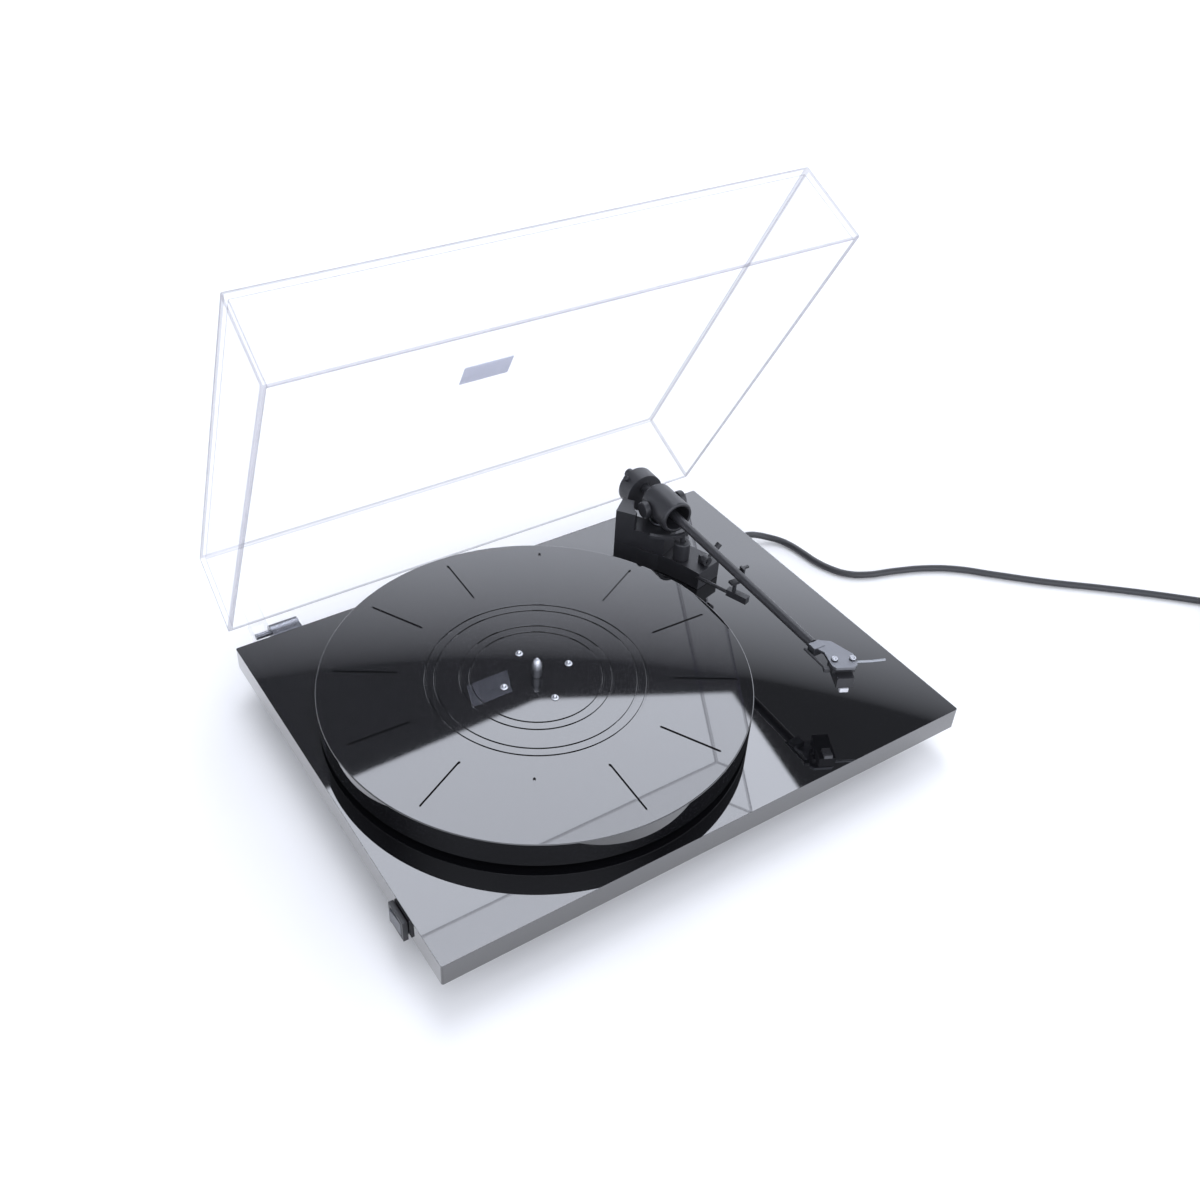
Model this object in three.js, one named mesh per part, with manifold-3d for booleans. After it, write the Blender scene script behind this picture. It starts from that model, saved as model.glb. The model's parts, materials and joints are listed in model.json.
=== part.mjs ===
// Belt-drive record player: gloss board plinth, hinged clear lid, straight tonearm.
// Millimetres, +Z up. The model is laid out around the middle of the plinth's top
// face and then moved so that the origin is under the middle of its footprint.
import * as THREE from 'three';
import { mergeVertices } from 'three/addons/utils/BufferGeometryUtils.js';
import Module from 'manifold-3d';

const wasm = await Module();
wasm.setup();

// ---------------------------------------------------------------- driving dimensions
const GAP = 0.3;

const PLINTH_W = 413;
const PLINTH_D = 316;
const PLINTH_T = 17.5;
const PLINTH_CORNER_R = 1.5;
const FOOT_H = 24;
const FOOT_R = 17;
const FRONT_FOOT = [165, -118];
const REAR_FOOT = [180, 136];
const FLOOR_Z = -PLINTH_T - FOOT_H;
const SIDE_X = PLINTH_W / 2;
const BACK_Y = PLINTH_D / 2;

const PLATTER_X = -47.5;
const PLATTER_Y = 1.5;
const PLATTER_R = 150;
const PLATTER_TOP = 24;
const PLATTER_BOTTOM = 4.5;
const PLATTER_SKIRT_R = 143;
const PLATTER_WEB = 8;
const SLOT_COUNT = 12;
const SLOT_R = [96, 139];
const SLOT_W = 1.8;
const SLOT_DEPTH = 1.2;
const PATTERN_TURN = -2;
const SCREW_CIRCLE_R = 25.4;
const SCREW_HEAD_R = 2.8;
const SPINDLE_R = 3.6;
const SPINDLE_TOP = 39.5;
const SPINDLE_FOOT = -15;
const BORE_R = SPINDLE_R + GAP;

const SUB_R = 62;
const SUB_Z = [6, PLATTER_TOP - PLATTER_WEB - GAP];
const PULLEY_R = 6.2;
const PULLEY_FLANGE_R = 8.6;
const BELT_Z = [8.2, 12.8];
const BELT_T = 1;
const MOTOR_X = -120;
const MOTOR_Y = 75;
const MOTOR_R = 22;
const MOTOR_Z = [-36, -3];
const MOTOR_SHAFT_R = 1.2;

const ARM_X = 127;
const ARM_Y = 100;
const ARM_Z = 48;
const ARM_REST_TURN = 2.2;
const TUBE_R = 3.5;
const TUBE_END = -190;
const HOUSING_R = 13.5;
const HOUSING_BORE_R = 10.5;
const HOUSING_REAR_R = 8.6;
const HOUSING_Y = [-22, 13];
const OFFSET_ANGLE = 24.5;
const CARTRIDGE_AT = [7, -214];
const MOUNT_HALF_PITCH = 6.35;
const WEIGHT_R = 16;
const WEIGHT_DROP = 5;
const WEIGHT_Y = [25, 39];
const STUB_R = 4;

const BASE_ARC_R = 178.5;
const BASE_OUTER_R = 204;
const PEDESTAL_OUTER_R = 197;
const BASE_ANGLES = [14, 38.6];
const BASE_H = 16;
const PEDESTAL_TOP = 32;
const PEDESTAL_ANGLES = [25, 34];
const TOWER_ANGLES = [33.5, 38.6];
const TOWER_TOP = 46;
const ARM_SWEEP_R = 22.5;
const LIFT_RADIUS = 31;
const LIFT_ANGLES = [-7, 50];
const LIFT_TOP = 39.5;
const CUE_AT = [137, 54, 20.5];
const REST_AT = [123, 1];
const REST_BLOCK_TURN = 19;
const REST_ROD_R = 1.5;
const REST_ROD = [[126.4, 47.5, 11], [120.5, 4, 28.5]];

const LID_H = 62.5;
const LID_WALL = 3;
const LID_REST_Z = 2.5;
const LID_SIDE_DRAFT = 2.6;
const LID_FRONT_DRAFT = 2.2;
const LID_OPEN = 61.45;
const PIVOT_Y = BACK_Y + 9.7;
const PIVOT_Z = -4.8;
const HINGE_X = [155, 177];
const TAB_X = [178, 190];
const PIN_R = 2.2;

const SWITCH_Y = -106.5;
const SWITCH_Z = -14.5;
const SWITCH_HALF = [9.5, 8.5];
const SWITCH_RIM = 2.5;
const ROCKER_HALF = 6.4;
const ROCKER_HALF_H = 5.4;
const ROCKER_TILT = 5;

const CORD_R = 2.8;
const CORD_Z = FLOOR_Z + CORD_R + GAP;
const GLAND_X = 199.5;
const GLAND_Y = 113;
const GLAND_Z = -29;
const COIL_X = 523;
const COIL_Y = -208;
const COIL_R = 33;
const COIL_HALF_W = 3 * CORD_R + GAP;
const COIL_Z = [FLOOR_Z + 1.2, FLOOR_Z + 1.2 + 4 * CORD_R];
const COIL_IN_ANGLE = 44.6;
const TIE_T = 0.8;
const PLUG_Y = -258;

// ---------------------------------------------------------------- solids and helpers
const rad = THREE.MathUtils.degToRad;

function solid(geometry) {
  const plain = geometry.clone();
  plain.deleteAttribute('normal');
  plain.deleteAttribute('uv');
  const merged = mergeVertices(plain, 1e-4);
  return new wasm.Manifold(new wasm.Mesh({
    numProp: 3,
    vertProperties: new Float32Array(merged.attributes.position.array),
    triVerts: new Uint32Array(merged.index.array),
  }));
}

function surface(manifold) {
  const m = manifold.getMesh();
  const geometry = new THREE.BufferGeometry();
  geometry.setAttribute('position', new THREE.BufferAttribute(new Float32Array(m.vertProperties), 3));
  geometry.setIndex(new THREE.BufferAttribute(new Uint32Array(m.triVerts), 1));
  geometry.computeVertexNormals();
  return geometry;
}

function join(...geometries) {
  return geometries.map(solid).reduce((a, b) => a.add(b));
}

function cut(body, ...tools) {
  return tools.map(solid).reduce((a, b) => a.subtract(b), body);
}

function box(x, y, z) {
  const geometry = new THREE.BoxGeometry(x[1] - x[0], y[1] - y[0], z[1] - z[0]);
  geometry.translate((x[0] + x[1]) / 2, (y[0] + y[1]) / 2, (z[0] + z[1]) / 2);
  return geometry;
}

function rod(radius, z, sides = 24, x = 0, y = 0, topRadius = radius) {
  const geometry = new THREE.CylinderGeometry(topRadius, radius, z[1] - z[0], sides);
  geometry.rotateX(Math.PI / 2);
  geometry.translate(x, y, (z[0] + z[1]) / 2);
  return geometry;
}

function rodBetween(radius, from, to, sides = 16) {
  const a = new THREE.Vector3(...from);
  const b = new THREE.Vector3(...to);
  const geometry = new THREE.CylinderGeometry(radius, radius, a.distanceTo(b), sides);
  const turn = new THREE.Quaternion().setFromUnitVectors(
    new THREE.Vector3(0, 1, 0),
    b.clone().sub(a).normalize(),
  );
  geometry.applyQuaternion(turn);
  geometry.translate(...a.add(b).multiplyScalar(0.5));
  return geometry;
}

function turned(profile, sides = 48) {
  const points = profile.map(([r, z]) => new THREE.Vector2(r, z));
  const geometry = new THREE.LatheGeometry(points, sides);
  geometry.rotateX(Math.PI / 2);
  return geometry;
}

function plate(shape, z, curveSegments = 12) {
  const geometry = new THREE.ExtrudeGeometry(shape, {
    depth: z[1] - z[0],
    bevelEnabled: false,
    curveSegments,
  });
  geometry.translate(0, 0, z[0]);
  return geometry;
}

function outline(points) {
  return new THREE.Shape(points.map(([x, y]) => new THREE.Vector2(x, y)));
}

function roundedRectangle(w, d, r) {
  const shape = new THREE.Shape();
  shape.moveTo(-w / 2 + r, -d / 2);
  shape.lineTo(w / 2 - r, -d / 2);
  shape.absarc(w / 2 - r, -d / 2 + r, r, -Math.PI / 2, 0);
  shape.lineTo(w / 2, d / 2 - r);
  shape.absarc(w / 2 - r, d / 2 - r, r, 0, Math.PI / 2);
  shape.lineTo(-w / 2 + r, d / 2);
  shape.absarc(-w / 2 + r, d / 2 - r, r, Math.PI / 2, Math.PI);
  shape.lineTo(-w / 2, -d / 2 + r);
  shape.absarc(-w / 2 + r, -d / 2 + r, r, Math.PI, 1.5 * Math.PI);
  return shape;
}

function sector(cx, cy, r, degrees) {
  const [a, b] = degrees.map(rad);
  const shape = new THREE.Shape();
  shape.absarc(cx, cy, r[1], a, b, false);
  shape.absarc(cx, cy, r[0], b, a, true);
  shape.closePath();
  return shape;
}

function polar(cx, cy, r, degrees) {
  return [cx + r * Math.cos(rad(degrees)), cy + r * Math.sin(rad(degrees))];
}

function finish(color, roughness, metalness = 0, opacity = 1) {
  return new THREE.MeshStandardMaterial({
    color, roughness, metalness, opacity, transparent: opacity < 1,
  });
}

function place(parent, name, shape, material) {
  const geometry = shape instanceof THREE.BufferGeometry ? shape : surface(shape);
  const mesh = new THREE.Mesh(geometry, material);
  mesh.name = name;
  parent.add(mesh);
  return mesh;
}

const GLOSS_BLACK = () => finish(0x0b0b0d, 0.08);
const SATIN_BLACK = () => finish(0x1b1c1e, 0.5);
const RUBBER = () => finish(0x161616, 0.85);
const CHROME = () => finish(0xd8d8da, 0.12, 1);
const STEEL = () => finish(0xa9abad, 0.3, 1);
const BRASS = () => finish(0xb08d4a, 0.35, 1);
const CLEAR = () => finish(0xe6e6f2, 0.05, 0, 0.25);

const machine = new THREE.Group();

// ---------------------------------------------------------------- plinth and feet
function buildPlinth() {
  const board = plate(roundedRectangle(PLINTH_W, PLINTH_D, PLINTH_CORNER_R), [-PLINTH_T, 0], 3);
  const through = [-PLINTH_T - 1, 1];
  place(machine, 'plinth', cut(
    solid(board),
    rod(12, through, 32, PLATTER_X, PLATTER_Y),
    rod(MOTOR_R + 1, through, 32, MOTOR_X, MOTOR_Y),
    rod(5, through, 24, ARM_X, ARM_Y),
  ), GLOSS_BLACK());
  const corners = {
    front_left: [-FRONT_FOOT[0], FRONT_FOOT[1]],
    front_right: FRONT_FOOT,
    rear_left: [-REAR_FOOT[0], REAR_FOOT[1]],
    rear_right: REAR_FOOT,
  };
  for (const [where, [x, y]] of Object.entries(corners)) {
    const foot = new THREE.Group();
    foot.position.set(x, y, FLOOR_Z);
    machine.add(foot);
    const top = FOOT_H - GAP;
    place(foot, `foot_${where}`, turned([
      [0, 8], [5, 8], [5, 0], [FOOT_R - 3, 0], [FOOT_R - 2, 1.5], [FOOT_R - 1, top - 3],
      [FOOT_R, top - 2], [FOOT_R, top], [2.3, top], [2.3, 11], [0, 11],
    ], 20), RUBBER());
  }
}

// ---------------------------------------------------------------- drive
function buildDrive() {
  const bearing = new THREE.Group();
  bearing.position.set(PLATTER_X, PLATTER_Y, 0);
  machine.add(bearing);
  place(bearing, 'main_bearing_housing', turned([
    [0, -20], [11.5, -20], [11.5, GAP], [18, GAP], [18, 2.3], [9, 2.3], [9, 4.5],
    [BORE_R, 4.5], [BORE_R, SPINDLE_FOOT - GAP], [0, SPINDLE_FOOT - GAP],
  ], 20), BRASS());

  place(machine, 'motor_body', cut(
    solid(rod(MOTOR_R, MOTOR_Z, 32, MOTOR_X, MOTOR_Y)),
    rod(MOTOR_SHAFT_R + GAP, [-14, 0], 16, MOTOR_X, MOTOR_Y),
  ), STEEL());
  const ringZ = [-PLINTH_T - 2.3, -PLINTH_T - GAP];
  place(machine, 'motor_plate', cut(
    solid(rod(32, ringZ, 32, MOTOR_X, MOTOR_Y)),
    rod(MOTOR_R + GAP, [ringZ[0] - 1, ringZ[1] + 1], 32, MOTOR_X, MOTOR_Y),
  ), SATIN_BLACK());
  const pulley = new THREE.Group();
  pulley.position.set(MOTOR_X, MOTOR_Y, 0);
  machine.add(pulley);
  place(pulley, 'motor_pulley', turned([
    [0, -12], [MOTOR_SHAFT_R, -12], [MOTOR_SHAFT_R, 5.5], [PULLEY_FLANGE_R, 5.5], [PULLEY_FLANGE_R, 7],
    [PULLEY_R, 7.6], [PULLEY_R, 13.4], [PULLEY_FLANGE_R, 14], [PULLEY_FLANGE_R, 15], [0, 15],
  ], 24), BRASS());

  const shift = new THREE.Vector2(MOTOR_X - PLATTER_X, MOTOR_Y - PLATTER_Y);
  const beltLoop = (slack) => {
    const big = SUB_R + slack;
    const small = PULLEY_R + slack;
    const heading = shift.angle();
    const wrap = Math.acos((big - small) / shift.length());
    const path = new THREE.Path();
    path.absarc(PLATTER_X, PLATTER_Y, big, heading + wrap, heading - wrap + 2 * Math.PI, false);
    path.absarc(MOTOR_X, MOTOR_Y, small, heading - wrap, heading + wrap, false);
    path.closePath();
    return path;
  };
  const belt = new THREE.Shape(beltLoop(GAP + BELT_T).getPoints(16));
  belt.holes.push(new THREE.Path(beltLoop(GAP).getPoints(16)));
  place(machine, 'drive_belt', plate(belt, BELT_Z), RUBBER());

  const spin = new THREE.Group();
  spin.position.set(PLATTER_X, PLATTER_Y, 0);
  machine.add(spin);
  const screwSpots = [0, 90, 180, 270].map((a) => polar(0, 0, SCREW_CIRCLE_R, a + PATTERN_TURN));
  const screwHoles = (z) => screwSpots.map(([x, y]) => rod(1.9, z, 8, x, y));

  place(spin, 'spindle', turned([
    [0, SPINDLE_FOOT], [SPINDLE_R - 1, SPINDLE_FOOT], [SPINDLE_R, SPINDLE_FOOT + 1],
    [SPINDLE_R, SPINDLE_TOP - 2.4], [SPINDLE_R - 0.7, SPINDLE_TOP - 0.7], [1.6, SPINDLE_TOP], [0, SPINDLE_TOP],
  ], 24), CHROME());
  place(spin, 'subplatter', cut(
    solid(turned([
      [BORE_R, SUB_Z[0]], [14, SUB_Z[0]], [14, 8], [SUB_R - 6, 8], [SUB_R, BELT_Z[0] - 0.7],
      [SUB_R, SUB_Z[1]], [BORE_R, SUB_Z[1]], [BORE_R, SUB_Z[0]],
    ], 40)),
    ...screwHoles([0, PLATTER_TOP]),
  ), SATIN_BLACK());

  const slot = (i) => {
    const groove = box(SLOT_R, [-SLOT_W / 2, SLOT_W / 2], [PLATTER_TOP - SLOT_DEPTH, PLATTER_TOP + 1]);
    groove.rotateZ(rad(i * 360 / SLOT_COUNT + PATTERN_TURN));
    return groove;
  };
  const web = PLATTER_TOP - PLATTER_WEB;
  place(spin, 'platter', cut(
    solid(turned([
      [BORE_R, web], [PLATTER_SKIRT_R - 2, web], [PLATTER_SKIRT_R, web - 2], [PLATTER_SKIRT_R, PLATTER_BOTTOM],
      [PLATTER_R - 0.5, PLATTER_BOTTOM], [PLATTER_R, PLATTER_BOTTOM + 0.5], [PLATTER_R, PLATTER_TOP - 0.8],
      [PLATTER_R - 0.8, PLATTER_TOP], [BORE_R, PLATTER_TOP], [BORE_R, web],
    ], 72)),
    ...screwHoles([0, PLATTER_TOP + 2]),
    ...Array.from({ length: SLOT_COUNT }, (_, i) => slot(i)),
  ), GLOSS_BLACK());

  const headZ = PLATTER_TOP + GAP;
  const screw = () => turned([
    [0, SUB_Z[0] + 2.5], [1.6, SUB_Z[0] + 2.5], [1.6, headZ], [SCREW_HEAD_R, headZ],
    [SCREW_HEAD_R, headZ + 0.5], [SCREW_HEAD_R * 0.7, headZ + 1.4], [0, headZ + 1.7],
  ], 16);
  screwSpots.forEach(([x, y], i) => {
    place(spin, `platter_screw_${i + 1}`, screw().translate(x, y, 0), CHROME());
  });
}

// ---------------------------------------------------------------- tonearm supports
function restRod(radius, extra) {
  const [foot, end] = REST_ROD.map((p) => new THREE.Vector3(...p));
  const reach = end.clone().sub(foot).normalize().multiplyScalar(extra);
  return rodBetween(radius, foot.sub(reach).toArray(), end.add(reach).toArray(), 16);
}

function buildArmBase() {
  const block = plate(
    sector(PLATTER_X, PLATTER_Y, [BASE_ARC_R, BASE_OUTER_R], BASE_ANGLES),
    [GAP, BASE_H],
    12,
  );
  const disc = rod(24, [GAP, BASE_H], 36, ARM_X, ARM_Y);
  const [ex, ey, ez] = CUE_AT;
  const ear = box([ex - 3, ex + 3], [ey + 0.5, ey + 3.5], [BASE_H - 4, ez + 3]);
  const earPin = rodBetween(1.5, [ex, ey + 2, ez], [ex, ey - 6, ez], 12);
  place(machine, 'arm_base', cut(
    join(block, disc, ear, earPin),
    rod(3.6, [-1, BASE_H + 1], 24, ARM_X, ARM_Y),
    restRod(REST_ROD_R + GAP, GAP),
  ), SATIN_BLACK());

  const wing = plate(
    sector(PLATTER_X, PLATTER_Y, [BASE_ARC_R, PEDESTAL_OUTER_R], PEDESTAL_ANGLES),
    [BASE_H + GAP, PEDESTAL_TOP],
    12,
  );
  const tower = cut(
    solid(plate(
      sector(PLATTER_X, PLATTER_Y, [BASE_ARC_R, PEDESTAL_OUTER_R], TOWER_ANGLES),
      [BASE_H + GAP, TOWER_TOP],
      12,
    )),
    rod(ARM_SWEEP_R, [PEDESTAL_TOP, TOWER_TOP + 1], 40, ARM_X, ARM_Y),
  );
  const column = rod(12.5, [BASE_H + GAP, PEDESTAL_TOP - 1], 40, ARM_X, ARM_Y);
  place(machine, 'arm_pedestal', cut(
    join(wing, column).add(tower),
    rod(3.6, [0, PEDESTAL_TOP + 5], 24, ARM_X, ARM_Y),
  ), SATIN_BLACK());

  const reach = rad(ARM_REST_TURN);
  const lift = new THREE.Group();
  lift.position.set(ARM_X, ARM_Y, 0);
  lift.rotation.z = -reach;
  machine.add(lift);
  const cylinder = turned([
    [0, BASE_H + GAP], [6.5, BASE_H + GAP], [6.5, 31], [5.5, 32], [2.4, 32], [2.4, 21], [0, 21],
  ], 28).translate(0, -LIFT_RADIUS, 0);
  place(lift, 'lift_cylinder', cylinder, SATIN_BLACK());
  const lean = LIFT_ANGLES.map((a) => -90 - a).reverse();
  const bar = plate(sector(0, 0, [LIFT_RADIUS - 1.6, LIFT_RADIUS + 1.6], lean), [LIFT_TOP - 2.6, LIFT_TOP], 14);
  const stem = rod(2, [22, LIFT_TOP - 1], 16, 0, -LIFT_RADIUS);
  place(lift, 'lift_bar', join(bar, stem), SATIN_BLACK());

  const hub = cut(
    join(
      rodBetween(4, [ex, ey + GAP, ez], [ex, ey - 5, ez], 24),
      rodBetween(1.3, [ex, ey - 2.5, ez], [ex + 8, ey - 2.5, ez + 8], 12),
      rodBetween(2.4, [ex + 7.4, ey - 2.5, ez + 7.4], [ex + 12, ey - 2.5, ez + 12], 16),
    ),
    rodBetween(1.8, [ex, ey + 3, ez], [ex, ey - 9, ez], 16),
  );
  place(machine, 'cue_lever', hub, SATIN_BLACK());

  place(machine, 'arm_rest_rod', restRod(REST_ROD_R, 0), SATIN_BLACK());
  const restBlock = solid(box([-2.6, 2.6], [-13, 4.5], [25.6, 31.2]))
    .rotate([0, 0, REST_BLOCK_TURN])
    .translate([...REST_AT, 0]);
  const clip = join(
    rodBetween(1.5, [0, -1, 30], [0, -1, 40], 16),
    box([-4.5, 6], [-3.5, 1.5], [39, 41]),
    box([4.4, 6], [-3.5, 1.5], [39, 51.5]),
    box([4.4, 10.5], [-2, 0], [50, 51.5]),
  ).rotate([0, 0, -ARM_REST_TURN]).translate([...REST_AT, 0]);
  place(machine, 'arm_rest', cut(restBlock.add(clip), restRod(REST_ROD_R + GAP, GAP)), SATIN_BLACK());
}

// ---------------------------------------------------------------- tonearm
function buildArm() {
  const arm = new THREE.Group();
  arm.position.set(ARM_X, ARM_Y, ARM_Z);
  arm.rotation.z = -rad(ARM_REST_TURN);
  machine.add(arm);

  const [yf, yr] = HOUSING_Y;
  const shell = turned([
    [HOUSING_BORE_R, 0], [HOUSING_R - 1, 0], [HOUSING_R, 1], [HOUSING_R, yr - yf - 4], [HOUSING_R - 3, yr - yf],
    [HOUSING_REAR_R, yr - yf], [HOUSING_REAR_R, yr - yf - 3], [HOUSING_BORE_R, yr - yf - 3], [HOUSING_BORE_R, 0],
  ], 32);
  shell.rotateX(-Math.PI / 2);
  shell.translate(0, yf, 0);
  place(arm, 'bearing_housing', cut(
    solid(shell),
    rodBetween(1.8, [-20, 0, 0], [20, 0, 0], 16),
  ), SATIN_BLACK());
  place(arm, 'pivot_pin', rodBetween(1.5, [-13.2, 0, 0], [13.2, 0, 0], 16), STEEL());
  for (const [side, s] of [['left', -1], ['right', 1]]) {
    place(arm, `bearing_cap_${side}`, rodBetween(6.5, [s * 13.9, 0, 0], [s * 19, 0, 0], 28), SATIN_BLACK());
  }
  place(arm, 'yaw_shaft', turned([
    [0, 5 - ARM_Z], [3, 5 - ARM_Z], [3, -15.4], [9, -15.4], [9, -13.9], [0, -13.9],
  ], 28), STEEL());

  place(arm, 'arm_tube', cut(
    join(
      rodBetween(TUBE_R, [0, -4, 0], [0, TUBE_END + GAP, 0], 20),
      box([-6, 6], [-7, 7], [-5.5, 5.5]),
      rodBetween(STUB_R, [0, 4, 0], [0, 50, 0], 20),
    ),
    rodBetween(1.9, [-20, 0, 0], [20, 0, 0], 16),
  ), SATIN_BLACK());

  const [mx, my] = CARTRIDGE_AT;
  const head = new THREE.Group();
  head.position.set(mx, my, 0);
  head.rotation.z = -rad(OFFSET_ANGLE);
  arm.add(head);
  const toPlate = (x, y) => new THREE.Vector3(x - mx, y - my, 0).applyAxisAngle(
    new THREE.Vector3(0, 0, 1),
    rad(OFFSET_ANGLE),
  );
  const rear = [[-4.5, TUBE_END], [4.5, TUBE_END], [11.5, -195]].map(([x, y]) => {
    const p = toPlate(x, y);
    return [p.x, p.y];
  });
  const blade = plate(outline([...rear, [8.5, 5], [8.5, -6], [6, -8.5], [-7, -8.5], [-9.5, -6], [-11.5, 8]]), [-0.4, 2]);
  const neckAt = toPlate(0, TUBE_END - 3.5);
  const neck = new THREE.BoxGeometry(9, 7, 7);
  neck.rotateZ(rad(OFFSET_ANGLE));
  neck.translate(neckAt.x, neckAt.y, -1);
  const mountHoles = [-1, 1].map((s) => rod(1.6, [-10, 10], 12, s * MOUNT_HALF_PITCH, 0));
  place(head, 'headshell', cut(join(blade, neck), ...mountHoles), finish(0x8d9196, 0.4, 0.6));
  const bodyZ = [-13.5, -0.7];
  place(head, 'cartridge_body', cut(
    join(
      box([-8, 8], [-5, 5], [-6, bodyZ[1]]),
      box([-6, 6], [-12, 12], [bodyZ[0], -5]),
    ),
    ...mountHoles,
  ), SATIN_BLACK());
  const screw = (s) => turned([
    [0, -7.5], [1.25, -7.5], [1.25, 2.3], [2.4, 2.3], [2.4, 3.3], [1.8, 3.9], [0, 3.9],
  ], 14).translate(s * MOUNT_HALF_PITCH, 0, 0);
  place(head, 'cartridge_screw_left', screw(-1), CHROME());
  place(head, 'cartridge_screw_right', screw(1), CHROME());
  place(head, 'stylus_unit', stylusUnit(), finish(0xd9dadb, 0.3, 0.2));
  place(head, 'finger_lift', join(
    rodBetween(0.9, [8.9, -2, 0.8], [20, -2, 0.8], 10),
    rodBetween(0.9, [19.6, -2, 0.8], [29, -2, 1.8], 10),
  ), STEEL());
  place(head, 'lead_guide', join(
    rodBetween(1, [-22.5, 17, -2.2], [-13, -4, -2.2], 10),
    box([-14.6, -10.6], [-6.5, -3], [-3.8, -0.7]),
  ), SATIN_BLACK());

  const weight = rodBetween(WEIGHT_R, [0, WEIGHT_Y[0], -WEIGHT_DROP], [0, WEIGHT_Y[1], -WEIGHT_DROP], 36);
  const lockDirection = new THREE.Vector3(-1, 0, 1).normalize();
  const lockAt = (r) => [
    lockDirection.x * r,
    WEIGHT_Y[1] - 5,
    lockDirection.z * r - WEIGHT_DROP,
  ];
  place(arm, 'counterweight', cut(
    solid(weight),
    rodBetween(STUB_R + GAP, [0, 0, 0], [0, 60, 0], 24),
    rodBetween(1.6, lockAt(WEIGHT_R - 6), lockAt(WEIGHT_R + 4), 12),
  ), SATIN_BLACK());
  place(arm, 'weight_lock_screw', join(
    rodBetween(1.3, lockAt(WEIGHT_R - 5.5), lockAt(WEIGHT_R + 1.5), 12),
    rodBetween(2.3, lockAt(WEIGHT_R + 0.4), lockAt(WEIGHT_R + 3.4), 16),
  ), SATIN_BLACK());
}

function stylusUnit() {
  const guard = box([-3, 3], [-12.6, -4], [-16, -13.8]);
  const nose = box([-3, 3], [-12.6, -9.6], [-17, -15.5]);
  const cantilever = rodBetween(0.5, [0, -6, -15.5], [0, -11.4, -16.9], 8);
  return join(guard, nose, cantilever);
}

// ---------------------------------------------------------------- lid and hinges
function taperedBox(w, d, h, sideDraft, frontDraft) {
  const geometry = new THREE.BoxGeometry(w, d, h);
  geometry.translate(0, 0, h / 2);
  const p = geometry.attributes.position;
  for (let i = 0; i < p.count; i += 1) {
    if (p.getZ(i) > 0) {
      p.setX(i, p.getX(i) - Math.sign(p.getX(i)) * sideDraft);
      p.setY(i, p.getY(i) + (p.getY(i) < 0 ? frontDraft : 0));
    }
  }
  return geometry;
}

function buildLid() {
  const lid = new THREE.Group();
  lid.position.set(0, PIVOT_Y, PIVOT_Z);
  lid.rotation.x = -rad(LID_OPEN);
  machine.add(lid);
  const outer = taperedBox(PLINTH_W, PLINTH_D, LID_H, LID_SIDE_DRAFT, LID_FRONT_DRAFT);
  const inner = taperedBox(
    PLINTH_W - 2 * LID_WALL,
    PLINTH_D - 2 * LID_WALL,
    LID_H - LID_WALL,
    LID_SIDE_DRAFT,
    LID_FRONT_DRAFT,
  );
  const mouth = box(
    [-PLINTH_W / 2 + LID_WALL, PLINTH_W / 2 - LID_WALL],
    [-PLINTH_D / 2 + LID_WALL, PLINTH_D / 2 - LID_WALL],
    [-1, 0.01],
  );
  const rimZ = LID_REST_Z - PIVOT_Z;
  for (const g of [outer, inner, mouth]) {
    g.translate(0, -PIVOT_Y, rimZ);
  }
  place(lid, 'lid_shell', cut(solid(outer), inner, mouth), CLEAR());

  const backFace = BACK_Y - PIVOT_Y;
  for (const [side, s] of [['left', -1], ['right', 1]]) {
    const x = TAB_X.map((v) => v * s).sort((a, b) => a - b);
    const tab = cut(
      join(
        box(x, [backFace + GAP, backFace + 5.3], [rimZ + 1, rimZ + 27]),
        box(x, [backFace + GAP, 5], [0, rimZ + 3]),
        rodBetween(5, [x[0], 0, 0], [x[1], 0, 0], 28),
      ),
      rodBetween(PIN_R + GAP, [x[0] - 1, 0, 0], [x[1] + 1, 0, 0], 20),
    );
    place(lid, `lid_hinge_tab_${side}`, tab, CLEAR());
    const padX = [SIDE_X - 20, SIDE_X - 6].map((v) => v * s).sort((a, b) => a - b);
    const frontFace = -PIVOT_Y - BACK_Y;
    const pad = box(padX, [frontFace + 0.2, frontFace + LID_WALL], [rimZ - LID_REST_Z + 0.4, rimZ - GAP]);
    place(lid, `lid_pad_${side}`, pad, CLEAR());

    const bracket = new THREE.Group();
    bracket.position.set(0, PIVOT_Y, PIVOT_Z);
    machine.add(bracket);
    const bx = HINGE_X.map((v) => v * s).sort((a, b) => a - b);
    const pinX = [HINGE_X[0] + 2, TAB_X[1] - 2].map((v) => v * s);
    place(bracket, `hinge_bracket_${side}`, join(
      box(bx, [backFace + GAP, -2], [-9, 4.6]),
      rodBetween(5.6, [bx[0], 0, 0], [bx[1], 0, 0], 24),
      rodBetween(PIN_R, [pinX[0], 0, 0], [pinX[1], 0, 0], 20),
    ), CHROME());
  }
  const top = rimZ + LID_H;
  place(lid, 'lid_badge', box([-22, 17], [-PIVOT_Y - 11, -PIVOT_Y + 9], [top + GAP, top + 0.9]), STEEL());
}

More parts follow.
